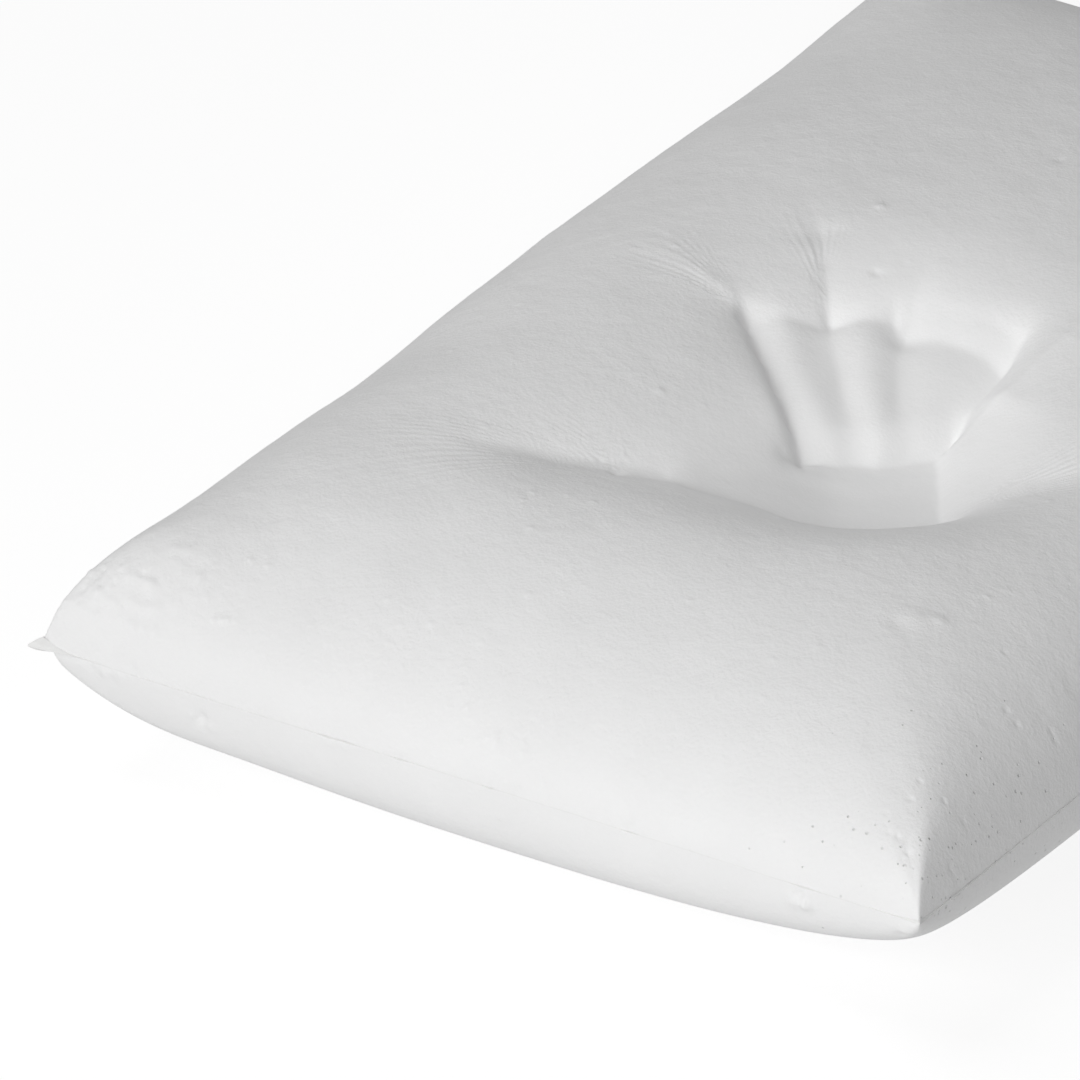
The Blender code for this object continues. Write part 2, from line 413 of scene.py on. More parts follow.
# The camera: where its right-hand side points, how steeply it looks down, and how it is framed
VIEW_BEARING = math.radians(-57.5)
VIEW_HEIGHT = math.radians(29.13)
VIEW_DISTANCE = 9.0
VIEW_RIGHT = 24.6 * MM
VIEW_UP = 89.1 * MM
VIEW_LIFT = 5 * MM
SENSOR_WIDTH = 36.0
PICTURE_PIXELS = 1080
PIXELS_PER_METRE = 2604.0
CLIP_END = 100.0


# ---------------------------------------------------------------- general shapes
def smoothstep(value, low, high):
    """Goes softly from 0 at low to 1 at high; low may be the larger of the two."""
    share = np.clip((value - low) / (high - low), 0.0, 1.0)
    return share * share * (3.0 - 2.0 * share)


def smooth_maximum(first, second, blend):
    """The larger of two, rounded where they are within the blend of each other."""
    overlap = np.maximum(blend - np.abs(first - second), 0.0)
    return np.maximum(first, second) + overlap ** 2 / (4.0 * blend)


def blur(values, cells):
    """Gaussian blur of a grid, in grid cells, out to three times its width."""
    reach = int(math.ceil(3 * cells))
    offsets = np.arange(-reach, reach + 1)
    weights = np.exp(-0.5 * (offsets / cells) ** 2)
    weights /= weights.sum()
    for axis in (0, 1):
        margins = [(reach, reach) if other == axis else (0, 0) for other in (0, 1)]
        padded = np.pad(values, margins, mode="edge")
        places = np.arange(values.shape[axis]) + reach
        moved = [np.take(padded, places + offset, axis=axis) for offset in offsets]
        values = sum(weight * part for weight, part in zip(weights, moved))
    return values


def cubic_weights(share):
    """Catmull-Rom weights of the four samples round a place between the middle two."""
    return (
        ((-0.5 * share + 1.0) * share - 0.5) * share,
        (1.5 * share - 2.5) * share * share + 1.0,
        ((-1.5 * share + 2.0) * share + 0.5) * share,
        (0.5 * share - 0.5) * share * share,
    )


def sample_smoothly(x, y, grid, at_x, at_y):
    """Reads a grid between its samples without showing its cells."""
    place_x = (at_x - x[0]) / (x[1] - x[0])
    place_y = (at_y - y[0]) / (y[1] - y[0])
    cell_x = np.clip(np.floor(place_x).astype(int), 0, len(x) - 2)
    cell_y = np.clip(np.floor(place_y).astype(int), 0, len(y) - 2)
    weights_x = cubic_weights(place_x - cell_x)
    weights_y = cubic_weights(place_y - cell_y)
    total = np.zeros_like(at_x)
    for i, weight_x in enumerate(weights_x):
        row = np.clip(cell_x + i - 1, 0, len(x) - 1)
        for j, weight_y in enumerate(weights_y):
            column = np.clip(cell_y + j - 1, 0, len(y) - 1)
            total += weight_x * weight_y * grid[row, column]
    return total


# ---------------------------------------------------------------- the unpressed moulding
# Its shapes are functions of u and v, which run from -1 to 1 along the length and across the width.
def swell(u, fullness, roundness):
    """Rise of a moulded half: 0 at the parting line (u = -1 or 1), 1 in the middle."""
    return np.maximum(1.0 - np.abs(u) ** fullness, 0.0) ** (1.0 / roundness)


def upper_height(u, v):
    """Height over the parting line: the lower of two arches, blended along their ridge."""
    sharpness = UPPER_RIDGE_SHARPNESS
    smallest = 1e-9
    along = np.maximum(swell(u, UPPER_LENGTH_FULLNESS, UPPER_ROUNDNESS), smallest)
    across = np.maximum(swell(v, UPPER_WIDTH_FULLNESS, UPPER_ROUNDNESS), smallest)
    joined = (along ** -sharpness + across ** -sharpness) ** (-1.0 / sharpness)
    return UPPER_RISE * 2.0 ** (1.0 / sharpness) * joined


def rounded_height(u, v):
    """The upper half's height with its four corner ridges rounded over."""
    from_end = (1.0 - np.abs(u)) * LENGTH / 2
    from_side = (1.0 - np.abs(v)) * WIDTH / 2
    radius = np.minimum(RIDGE_ROUNDING_SHARE * np.minimum(from_end, from_side), RIDGE_ROUNDING)
    total = np.zeros_like(u)
    for angle in np.linspace(0.0, 2.0 * math.pi, RIDGE_SAMPLES, endpoint=False):
        near_u = u + radius * math.cos(angle) / (LENGTH / 2)
        near_v = v + radius * math.sin(angle) / (WIDTH / 2)
        total += upper_height(near_u, near_v)
    reach = RIDGE_REACH * radius + RIDGE_LEAST_REACH
    on_ridge = np.exp(-((from_end - from_side) / reach) ** 2)
    sharp = upper_height(u, v)
    return sharp + (total / RIDGE_SAMPLES - sharp) * on_ridge


def lower_depth(u, v):
    """Depth under the parting line, flat where the pillow rests."""
    along = swell(u, LOWER_LENGTH_FULLNESS, LOWER_LENGTH_ROUNDNESS)
    across = swell(v, LOWER_WIDTH_FULLNESS, LOWER_WIDTH_ROUNDNESS)
    return np.minimum(LOWER_SWELL * along * across, PARTING)


def distance_to_rim(x, y):
    """How far a place lies inside the pillow's outline."""
    return np.minimum(LENGTH / 2 - np.abs(x), WIDTH / 2 - np.abs(y))


def swells(x, y, places):
    """Broad bulges and hollows, fading out at the parting line."""
    total = np.zeros_like(x)
    for place_x, place_y, radius, height in places:
        away = ((x - place_x * MM) ** 2 + (y - place_y * MM) ** 2) / (radius * MM) ** 2
        total += height * MM * np.exp(-away)
    return total * smoothstep(distance_to_rim(x, y), 0.0, SWELL_FADE)


def lump_lines(size, spacing):
    """Positions of the lumps along one direction, a little past both ends."""
    return np.arange(-size / 2 - 2 * spacing * MM, size / 2 + 3 * spacing * MM, spacing * MM)


def lumpy(x, y):
    """Small unevenness of the skin, the same on every run."""
    random = np.random.default_rng(LUMP_SEED)
    total = np.zeros_like(x)
    for spacing, height in LUMPS:
        grid_x = lump_lines(LENGTH, spacing)
        grid_y = lump_lines(WIDTH, spacing)
        values = random.uniform(-1.0, 1.0, (len(grid_x), len(grid_y)))
        total += height * MM * sample_smoothly(grid_x, grid_y, values, x, y)
    return total * smoothstep(distance_to_rim(x, y), 0.0, LUMP_FADE)


# ---------------------------------------------------------------- the hand's underside
def hand_frame(x, y):
    """Distance ahead of the knuckles and to the left of the hand's middle line."""
    ahead = (x - KNUCKLES[0]) * AHEAD[0] + (y - KNUCKLES[1]) * AHEAD[1]
    left = (x - KNUCKLES[0]) * LEFT[0] + (y - KNUCKLES[1]) * LEFT[1]
    return ahead, left


def step_foot(left):
    """Slightly wavy line where the palm ends and the bed of the fingers starts to rise."""
    wave = sum(height * np.sin(left / (length * MM) + phase) for height, length, phase in STEP_WAVES)
    return STEP_LEAN * left + wave * MM


def palm_near_edge(left):
    """Line where the palm begins, swept ahead towards both of its sides."""
    to_right = np.hypot(np.minimum(left, 0.0), PALM_NEAR_ROUNDING) - PALM_NEAR_ROUNDING
    sweep = PALM_NEAR_SWEEP * smoothstep(left, 0.0, PALM_NEAR_SWEEP_END)
    edge = PALM_NEAR + PALM_NEAR_RIGHT_SLOPE * to_right + sweep
    return edge + PALM_NEAR_LEFT_SLOPE * np.maximum(left - PALM_NEAR_LEFT_START, 0.0)


def palm_underside(ahead, left):
    """Underside of the palm: deepest on the right, rising on the left to the root of the thumb."""
    near_edge = palm_near_edge(left)
    far_edge = step_foot(left) + PALM_OVERLAP - THUMB_ROOT_SLANT * np.maximum(left - THUMB_ROOT, 0.0)
    to_thumb = np.logaddexp(0.0, (left - PALM_RAMP_START) / PALM_RAMP_BLEND) * PALM_RAMP_BLEND
    level = PALM_LEVEL + PALM_RAMP * to_thumb
    level = level + PALM_TILT * (ahead - near_edge) * smoothstep(left, *PALM_TILT_SIDE)
    near_share = np.clip((ahead - near_edge) / PALM_EDGE_RADIUS, 0.0, 1.0)
    level = level + PALM_EDGE_RADIUS * (1.0 - np.sqrt(1.0 - (1.0 - near_share) ** 2)) * PALM_EDGE_RISE
    at_root = smoothstep(far_edge - ahead, THUMB_ROOT_BLEND, 0.0)
    at_root = at_root * smoothstep(left, THUMB_ROOT, THUMB_ROOT + THUMB_ROOT_BLEND)
    level = level + THUMB_ROOT_RISE * at_root
    inside = (ahead > near_edge) & (ahead < far_edge) & (left > PALM_RIGHT) & (left < PALM_LEFT)
    return np.where(inside, level, FREE)


def finger_underside(ahead, left):
    """The fan of fingers: one bed, ribbed along the fingers, with rounded far ends."""
    past_foot = ahead - step_foot(left)
    bed_level = STEP_RISE + BED_SLOPE * (past_foot - STEP_RISE)
    level = PALM_LEVEL - smooth_maximum(-STEP_SLOPE * past_foot, -bed_level, STEP_BLEND)
    bed = np.full_like(ahead, FREE)
    for index in range(len(FINGER_ENDS)):
        from_left = FINGER_LINES[index][0] + FINGER_LINES[index][1] * ahead
        to_right = FINGER_LINES[index + 1][0] + FINGER_LINES[index + 1][1] * ahead
        share = (from_left - left) / (from_left - to_right)
        across = np.clip(share, 0, 1)
        end = FINGER_ENDS[index] - FINGER_END_DROPS[index] * across ** FINGER_END_CURVE
        inside = (share >= 0) & (share <= 1) & (past_foot > 0) & (ahead < end + TIP_RAMP)
        arch = np.sin(np.pi * across)
        shape = RIB_PLAIN_SHARE + RIB_PEAKED_SHARE * arch
        rib = RIB_HEIGHT * arch * shape * smoothstep(past_foot, 0.0, RIB_FADE_IN)
        tip = TIP_SLOPES[index] * np.maximum(ahead - end, 0.0)
        bed = np.where(inside, level + rib + tip, bed)
    return bed


def limb_underside(ahead, left, limb):
    """Underside of a round limb, such as the thumb, that lies along a line."""
    start, end, radius, start_level, end_level = limb
    start = np.array(start) * MM
    end = np.array(end) * MM
    axis = end - start
    along = ((ahead - start[0]) * axis[0] + (left - start[1]) * axis[1]) / np.dot(axis, axis)
    along = np.clip(along, 0.0, 1.0)
    away_ahead = ahead - start[0] - along * axis[0]
    away_left = left - start[1] - along * axis[1]
    away = np.hypot(away_ahead, away_left) / (radius * MM)
    level = start_level + (end_level - start_level) * along
    round_off = LIMB_ROUNDING * (1 - np.sqrt(np.maximum(1 - np.clip(away, 0, 1) ** 4, 0)))
    return np.where(away < 1, (level + round_off) * MM, FREE)


# ---------------------------------------------------------------- pressing the foam
def fold_height(ahead, left, fold):
    """A sharp fold in the skin along a line, fading to each side and past its ends."""
    start, end, start_height, end_height, left_width, right_width = fold
    start = np.array(start) * MM
    end = np.array(end) * MM
    axis = end - start
    length = np.hypot(*axis)
    axis = axis / length
    along = (ahead - start[0]) * axis[0] + (left - start[1]) * axis[1]
    to_left = (left - start[1]) * axis[0] - (ahead - start[0]) * axis[1]
    width = np.where(to_left > 0, left_width, right_width) * MM
    height = start_height + (end_height - start_height) * np.clip(along / length, 0, 1)
    beyond = np.maximum(np.maximum(-along, along - length), 0.0)
    return height * MM * np.exp(-np.abs(to_left) / width) * np.exp(-(beyond / FOLD_END_FADE) ** 2)


def fan_height(ahead, left, fan):
    """Fine wrinkles that spread from one point, where the skin is gathered."""
    point, direction, half_spread, count, reach, height = fan
    away_ahead = ahead - point[0] * MM
    away_left = left - point[1] * MM
    distance = np.hypot(away_ahead, away_left) / (reach * MM)
    angle = np.degrees(np.arctan2(away_left, away_ahead)) - direction
    angle = (angle + 180.0) % 360.0 - 180.0
    inside = smoothstep(np.abs(angle), half_spread, half_spread * 0.4)
    slow_bend = 2.0 * np.sin(2.1 * distance + angle / 11.0)
    quick_bend = 0.8 * np.sin(3.0 * distance + angle / 4.3)
    bend = slow_bend + quick_bend
    spokes = np.sin(np.radians(angle + bend) * count)
    finer_spokes = 0.5 * np.sin(np.radians(angle - bend) * count * 1.9 + 1.0)
    fade = np.exp(-distance ** 2) * smoothstep(distance, 0.05, 0.35)
    return height * MM * (spokes + finer_spokes) * inside * fade


def sink(needed, reach, rounds):
    """Depth of an elastic skin on a soft bed that has to go at least as deep as the hand."""
    sunk = needed.copy()
    pull = (PRESS_CELL / reach) ** 2
    for _ in range(rounds):
        around = sunk[:-2, 1:-1] + sunk[2:, 1:-1] + sunk[1:-1, :-2] + sunk[1:-1, 2:]
        sunk[1:-1, 1:-1] = np.maximum(around / (4.0 + pull), needed[1:-1, 1:-1])
        sunk[0] = sunk[-1] = 0.0
        sunk[:, 0] = sunk[:, -1] = 0.0
    return sunk


def depth_shares(ahead, left):
    """Shares of the hand's depth that the wide sag and the middle slopes take at each place."""
    at_palm = smoothstep(ahead, *PALM_ZONE)
    at_left = smoothstep(left - LEFT_ZONE_SLOPE * ahead, *LEFT_ZONE)
    at_right = smoothstep(left - RIGHT_ZONE_SLOPE * ahead, *RIGHT_ZONE)
    at_right = at_right * smoothstep(ahead, *RIGHT_ZONE_FADE)
    sag = SAG_SHARE + SAG_SHARE_AT_LEFT * at_left + SAG_SHARE_AT_RIGHT * at_right
    sag = sag + (1.0 - sag) * at_palm
    middle = MIDDLE_SHARE - MIDDLE_LOSS_AT_LEFT * at_left * (1.0 - at_palm)
    return sag, middle


def press_foam():
    """Sinks the foam's skin under the hand: a wide sag, and steep walls close to the hand."""
    x = np.linspace(-LENGTH / 2, LENGTH / 2, int(round(LENGTH / PRESS_CELL)) + 1)
    y = np.linspace(-WIDTH / 2, WIDTH / 2, int(round(WIDTH / PRESS_CELL)) + 1)
    xx, yy = np.meshgrid(x, y, indexing="ij")
    ahead, left = hand_frame(xx, yy)
    free_height = PARTING + upper_height(2 * xx / LENGTH, 2 * yy / WIDTH)
    hand = np.minimum(palm_underside(ahead, left), finger_underside(ahead, left))
    limbs = np.minimum(limb_underside(ahead, left, THUMB), limb_underside(ahead, left, HEEL))
    deep = np.maximum(free_height - hand, 0.0)
    deep_at_limbs = np.maximum(free_height - limbs, 0.0)
    sag_share, middle_share = depth_shares(ahead, left)
    sag = sink(np.maximum(deep * sag_share, deep_at_limbs), SAG_REACH, SAG_ROUNDS)
    middle = sink(deep * middle_share, MIDDLE_REACH, MIDDLE_ROUNDS)
    walls = sink(deep, WALL_REACH, WALL_ROUNDS)
    sunk = smooth_maximum(smooth_maximum(sag, middle, MIDDLE_BLEND), walls, WALL_BLEND)
    for fold in FOLDS:
        sunk = sunk - fold_height(ahead, left, fold)
    return x, y, blur(sunk, SKIN_BLUR_CELLS)


# ---------------------------------------------------------------- pits, blisters and pinholes
def squared_distances(points, place):
    """Squared distance of each point from a place in millimetres."""
    return ((points - np.array(place) * MM) ** 2).sum(-1)


def find_blemishes(points):
    """Every pit and blister as (place on the skin, radius, height), named ones and scattered ones."""
    found = []
    for x, y, z, radius, height in BLEMISHES:
        nearest = np.argmin(squared_distances(points, (x, y, z)))
        found.append((points[nearest], radius, height))
    for x, y, z, spread, count, radius, height, seed in PATCHES:
        random = np.random.default_rng(seed)
        nearby = np.flatnonzero(squared_distances(points, (x, y, z)) < (spread * MM) ** 2)
        for index in random.choice(nearby, count):
            scale = random.uniform(*PATCH_SCALES)
            found.append((points[index], radius * scale, height * scale))
    return found


def read_vectors(items, name, count):
    """Three numbers for each item, as rows."""
    values = np.empty(count * 3)
    items.foreach_get(name, values)
    return values.reshape(-1, 3)


def raise_blemishes(mesh):
    """Pushes the skin out or in along its normals at each pit and blister."""
    count = len(mesh.vertices)
    points = read_vectors(mesh.vertices, "co", count)
    normals = read_vectors(mesh.vertex_normals, "vector", count)
    push = np.zeros(count)
    for centre, radius, height in find_blemishes(points):
        distance = ((points - centre) ** 2).sum(-1) / (radius * MM) ** 2
        push += height * MM * np.exp(-distance)
    clear_of_rim = distance_to_rim(points[:, 0], points[:, 1])
    clear_of_flash = np.maximum(np.abs(points[:, 2] - PARTING) - FLASH_CLEARANCE, 0.0)
    push = np.minimum(push, BLEMISH_PUSH_SHARE * (clear_of_rim + clear_of_flash))
    points += normals * push[:, None]
    mesh.vertices.foreach_set("co", points.ravel())
    mesh.update()


def pitted_share(points):
    """How full of pinholes the skin is at each point."""
    total = np.zeros(len(points))
    for x, y, z, spread, share in PITTED:
        away = squared_distances(points, (x, y, z)) / (spread * MM) ** 2
        total = np.maximum(total, share * np.exp(-away))
    return total


# ---------------------------------------------------------------- mesh of the moulding
def link_object(name, data):
    """Adds an object to the scene."""
    item = bpy.data.objects.new(name, data)
    bpy.context.collection.objects.link(item)
    return item


def mesh_lines(half_size, low, high, fine_step, coarse_step):
    """Positions from -1 to 1: fine between two places, close at the rim, coarser elsewhere."""
    samples = 20001
    closest_to_rim = 3e-5
    rim_density = 0.16
    u = np.linspace(-1.0, 1.0, samples)
    place = u * half_size
    detailed = smoothstep(place, low - DETAIL_FADE, low) * smoothstep(place, high + DETAIL_FADE, high)
    even = 1.0 / coarse_step + (1.0 / fine_step - 1.0 / coarse_step) * detailed
    rim = rim_density / coarse_step / np.sqrt(1.0 + closest_to_rim - u ** 2)
    weight = (even + rim) * half_size
    steps = (weight[1:] + weight[:-1]) / 2 * (u[1] - u[0])
    running = np.concatenate(([0.0], np.cumsum(steps)))
    cells = int(round(running[-1]))
    return np.interp(np.linspace(0.0, running[-1], cells + 1), running, u)


def lip_width(u, v):
    """How far the upper half of the moulding overhangs the lower, most by the pointed tab."""
    away = np.hypot((u - TAB_CORNER[0]) * LENGTH / 2, (v - TAB_CORNER[1]) * WIDTH / 2)
    waves = np.sin(away / LIP_WAVES[0]) * np.sin(away / LIP_WAVES[1])
    by_tab = np.exp(-(away / LIP_TAB_REACH) ** 2)
    return LIP * (1.0 + LIP_WAVINESS * waves) + LIP_AT_TAB * by_tab


def lower_rings(loop_u, loop_v):
    """The lower half as rings of points, from the parting line to the flat underside."""
    inward = 1.0 - lip_width(loop_u, loop_v) / (WIDTH / 2)
    start = PARTING - LIP_DROP
    first_heights = np.full_like(loop_u, start)
    rings = [np.stack([loop_u * inward * LENGTH / 2, loop_v * inward * WIDTH / 2, first_heights], -1)]
    for step in range(1, LOWER_RINGS + 1):
        share = 1.0 - (1.0 - LOWER_INNERMOST) * (step / LOWER_RINGS) ** LOWER_WIDTH_ROUNDNESS
        u = loop_u * share
        v = loop_v * share
        x = u * inward * LENGTH / 2
        y = v * inward * WIDTH / 2
        depth = lower_depth(u, v) + swells(x, y, LOWER_SWELLS)
        rings.append(np.stack([x, y, np.maximum(start - depth, 0.0)], -1))
    return rings


def top_grid():
    """Places over the top from -1 to 1, close together over the imprint's end of the pillow."""
    fine, coarse = FULL_STEPS
    detail_end = KNUCKLES[0] + DETAIL_PAST_KNUCKLES
    u_lines = mesh_lines(LENGTH / 2, -LENGTH / 2, detail_end, fine, coarse)
    v_lines = mesh_lines(WIDTH / 2, -WIDTH / 2, WIDTH / 2, fine, coarse)
    return np.meshgrid(u_lines, v_lines, indexing="ij")


def top_height(u, v, depth):
    """Height of the dented and wrinkled top, which meets the parting line all round."""
    x = u * LENGTH / 2
    y = v * WIDTH / 2
    ahead, left = hand_frame(x, y)
    top = PARTING + rounded_height(u, v) - depth + lumpy(x, y) + swells(x, y, UPPER_SWELLS)
    for fan in FANS:
        top += fan_height(ahead, left, fan)
    top[0] = top[-1] = PARTING
    top[:, 0] = top[:, -1] = PARTING
    return top


def painted_light_and_smoothing_share(x, y, depth):
    """Share of painted light at each place, which also calms the grain: by depth in the imprint, and on
    a patch past the fingertips.
    """
    ahead, left = hand_frame(x, y)
    away_ahead = (ahead - PAINTED_LIGHT_AND_SMOOTHING_PATCH[0]) / PAINTED_LIGHT_AND_SMOOTHING_PATCH_SIZE[0]
    away_left = (left - PAINTED_LIGHT_AND_SMOOTHING_PATCH[1]) / PAINTED_LIGHT_AND_SMOOTHING_PATCH_SIZE[1]
    return np.maximum(smoothstep(depth, *PAINTED_LIGHT_AND_SMOOTHING_DEPTHS), np.exp(-away_ahead ** 2 - away_left ** 2))


def moulding_faces(number, rim, ring_count):
    """Quads over the top and down the rings, and one face that closes the underside."""
    quads = np.stack([number[:-1, :-1], number[1:, :-1], number[1:, 1:], number[:-1, 1:]], -1)
    faces = [quads.reshape(-1, 4)]
    above = rim
    for index in range(ring_count):
        below = number.size + index * len(rim) + np.arange(len(rim))
        faces.append(np.stack([above, below, np.roll(below, -1), np.roll(above, -1)], -1))
        above = below
    return np.vstack(faces).tolist() + [above[::-1].tolist()]


def sharpen_lip(mesh, loops):
    """Marks the two edges of the overhanging lip as sharp, so that it shades as a crisp line."""
    ends = np.empty(len(mesh.edges) * 2, dtype=int)
    mesh.edges.foreach_get("vertices", ends)
    ends = ends.reshape(-1, 2)
    sharp = np.zeros(len(ends), dtype=bool)
    for loop in loops:
        in_loop = np.zeros(len(mesh.vertices), dtype=bool)
        in_loop[loop] = True
        sharp |= in_loop[ends].all(axis=1)
    mesh.attributes.new("sharp_edge", "BOOLEAN", "EDGE").data.foreach_set("value", sharp)


def store_shares(mesh, name, shares):
    """Keeps one number for each point, which the skin's material reads."""
    mesh.attributes.new(name, "FLOAT", "POINT").data.foreach_set("value", shares)


def build_foam():
    """The moulding: its dented and wrinkled top, the overhanging lip and the lower half."""
    u, v = top_grid()
    x = u * LENGTH / 2
    y = v * WIDTH / 2
    depth = sample_smoothly(*press_foam(), x, y)
    top = np.stack([x, y, top_height(u, v, depth)], -1).reshape(-1, 3)
    number = np.arange(u.size).reshape(u.shape)
    rim = np.concatenate([number[:-1, 0], number[-1, :-1], number[:0:-1, -1], number[0, :0:-1]])
    rings = lower_rings(u.ravel()[rim], v.ravel()[rim])
    points = np.vstack([top] + rings)
    mesh = bpy.data.meshes.new("foam_moulding")
    mesh.from_pydata(points.tolist(), [], moulding_faces(number, rim, len(rings)))
    mesh.update()
    mesh.shade_smooth()
    raise_blemishes(mesh)
    sharpen_lip(mesh, (rim, number.size + np.arange(len(rim))))
    # Painted light, which also calms the grain, on the top's points only
    painted_light_and_smoothing_shares = np.zeros(len(points))
    painted_light_and_smoothing_shares[:number.size] = painted_light_and_smoothing_share(x, y, depth).ravel()
    store_shares(mesh, "painted_light_and_smoothing", painted_light_and_smoothing_shares)
    store_shares(mesh, "pitted", pitted_share(points))
    return link_object("foam_moulding", mesh)


# ---------------------------------------------------------------- flash
def film_section(near, far):
    """Outline of the film's section: (place, share of the thickness above the middle)."""
    middle = (near + far) / 2
    lower_side = ((near, -ROOT_HALF), (middle, -MIDDLE_HALF), (far, -OUTER_HALF))
    upper_side = ((far, OUTER_HALF), (middle, MIDDLE_HALF), (near, ROOT_HALF))
    return lower_side + upper_side


def film_mesh(name, inner, outer, heights, thickness):
    """A closed thin film between two lines of points, thinner at its outer edge."""
    bm = bmesh.new()
    rings = []
    for near, far, height, thick in zip(inner, outer, heights, thickness):
        section = film_section(near, far)
        rings.append([bm.verts.new((*place, height + share * thick)) for place, share in section])
    for first, second in zip(rings[:-1], rings[1:]):
        for index in range(len(first)):
            after = (index + 1) % len(first)
            bm.faces.new([first[index], first[after], second[after], second[index]])
    bm.faces.new(rings[0][::-1])
    bm.faces.new(rings[-1])
    bmesh.ops.recalc_face_normals(bm, faces=bm.faces)
    mesh = bpy.data.meshes.new(name)
    bm.to_mesh(mesh)
    bm.free()
    mesh.shade_smooth()
    mesh.set_sharp_from_angle(angle=SHARP_ANGLE)
    return mesh


def wavy(run, seed):
    """A slow, irregular wave between about 0 and 1 along a side."""
    random = np.random.default_rng(seed)
    total = np.zeros_like(run)
    for length in WAVE_LENGTHS:
        shrink = (length / WAVE_LENGTHS[0]) ** WAVE_SHRINK
        total += np.sin(run / (length * MM) + random.uniform(0, LAST_PHASE)) * shrink
    return 0.5 + 0.5 * np.tanh(total * WAVE_GAIN)


def build_edge_flash(name, along_x, side, seed):
    """The thin fin that squeezed out along one side, with its burrs."""
    half_run = (LENGTH if along_x else WIDTH) / 2 - WEB_LEG
    offset = (WIDTH if along_x else LENGTH) / 2 + FLASH_GAP
    run = np.linspace(-half_run, half_run, int(2 * half_run / STATION) + 1)
    width = (FIN_LEAST_WIDTH + FIN_WIDTHS[name] * wavy(run, seed) ** 2) * MM
    for place, half_length, extra in BURRS[name]:
        width += extra * MM * np.exp(-((run - place * MM) / (half_length * MM)) ** 2)
    heights = PARTING + (FIN_WAVE_HEIGHT * wavy(run, seed + FIN_HEIGHT_SEED) - FIN_DROP) * MM
    thickness = FIN_LEAST_THICKNESS + FIN_THICKENING * width
    inner = np.stack([run, np.full_like(run, side * offset)], -1)
    outer = np.stack([run, side * (offset + width)], -1)
    if not along_x:
        inner = inner[:, ::-1]
        outer = outer[:, ::-1]
    return link_object(name + "_film", film_mesh(name, inner, outer, heights, thickness))


def build_corner_flash(name, seed):
    """The pointed web of film that wraps one corner of the parting line."""
    x_side, y_side, reach, tear = WEBS[name]
    place = np.linspace(-1.0, 1.0, WEB_STATIONS)
    near_tip = 1.0 - np.abs(place)
    x = LENGTH / 2 - WEB_SINK - np.maximum(place, 0.0) * WEB_LEG
    y = WIDTH / 2 - WEB_SINK - np.maximum(-place, 0.0) * WEB_LEG
    inner = np.stack([x_side * x, y_side * y], -1)
    torn = 1.0 + tear * (wavy(place * WEB_TEAR_RUN, seed) - 0.5)
    width = (WEB_LEAST_WIDTH + reach * near_tip ** WEB_POINTEDNESS * torn) * MM
    turn = math.pi / 4 * (1.0 + np.sign(place) * (1.0 - near_tip ** 2))
    outward = np.stack([x_side * np.cos(turn), y_side * np.sin(turn)], -1)
    outer = inner + outward * width[:, None]
    heights = PARTING + (WEB_LEAST_LIFT + WEB_TIP_LIFT * reach * near_tip ** 3) * MM
    thickness = (WEB_LEAST_THICKNESS + WEB_TIP_THICKNESS * reach * near_tip ** 3) * MM
    return link_object(name + "_film", film_mesh(name, inner, outer, heights, thickness))


# ---------------------------------------------------------------- materials
def new_material(name):
    """A node material with its tree, its shader and the object's own coordinates."""
    material = bpy.data.materials.new(name)
    material.use_nodes = True
    tree = material.node_tree
    place = tree.nodes.new("ShaderNodeTexCoord").outputs["Object"]
    return material, tree, tree.nodes["Principled BSDF"], place


def noise(tree, place, scale, detail, roughness=0.5):
    """A cloudy noise texture."""
    node = tree.nodes.new("ShaderNodeTexNoise")
    node.inputs["Scale"].default_value = scale
    node.inputs["Detail"].default_value = detail
    node.inputs["Roughness"].default_value = roughness
    tree.links.new(place, node.inputs["Vector"])
    return node.outputs["Fac"]


def mix_colours(tree, share, first, second):
    """From the first colour to the second by a share; each is a tone or another node's result."""
    node = tree.nodes.new("ShaderNodeMix")
    node.data_type = "RGBA"
    tree.links.new(share, node.inputs["Factor"])
    for name, colour in (("A", first), ("B", second)):
        if isinstance(colour, tuple):
            node.inputs[name].default_value = (*colour, 1.0)
        else:
            tree.links.new(colour, node.inputs[name])
    return node.outputs["Result"]


def map_range(tree, value, source, target):
    """Moves a value from one range to another, and keeps it inside."""
    node = tree.nodes.new("ShaderNodeMapRange")
    node.inputs["From Min"].default_value = source[0]
    node.inputs["From Max"].default_value = source[1]
    node.inputs["To Min"].default_value = target[0]
    node.inputs["To Max"].default_value = target[1]
    tree.links.new(value, node.inputs["Value"])
    return node.outputs["Result"]


def combine(tree, operation, first, second):
    """One step of arithmetic on two values, each a number or another node's result."""
    node = tree.nodes.new("ShaderNodeMath")
    node.operation = operation
    for index, value in enumerate((first, second)):
        if isinstance(value, float):
            node.inputs[index].default_value = value
        else:
            tree.links.new(value, node.inputs[index])
    return node.outputs[0]


def add_bump(tree, height, distance, normal=None):
    """Bumps the surface by a height, over the bumps that it may already have."""
    node = tree.nodes.new("ShaderNodeBump")
    node.inputs["Distance"].default_value = distance
    tree.links.new(height, node.inputs["Height"])
    if normal is not None:
        tree.links.new(normal, node.inputs["Normal"])
    return node.outputs["Normal"]


def read_shares(tree, name):
    """The numbers that store_shares kept on the mesh."""
    node = tree.nodes.new("ShaderNodeAttribute")
    node.attribute_name = name
    return node.outputs["Fac"]


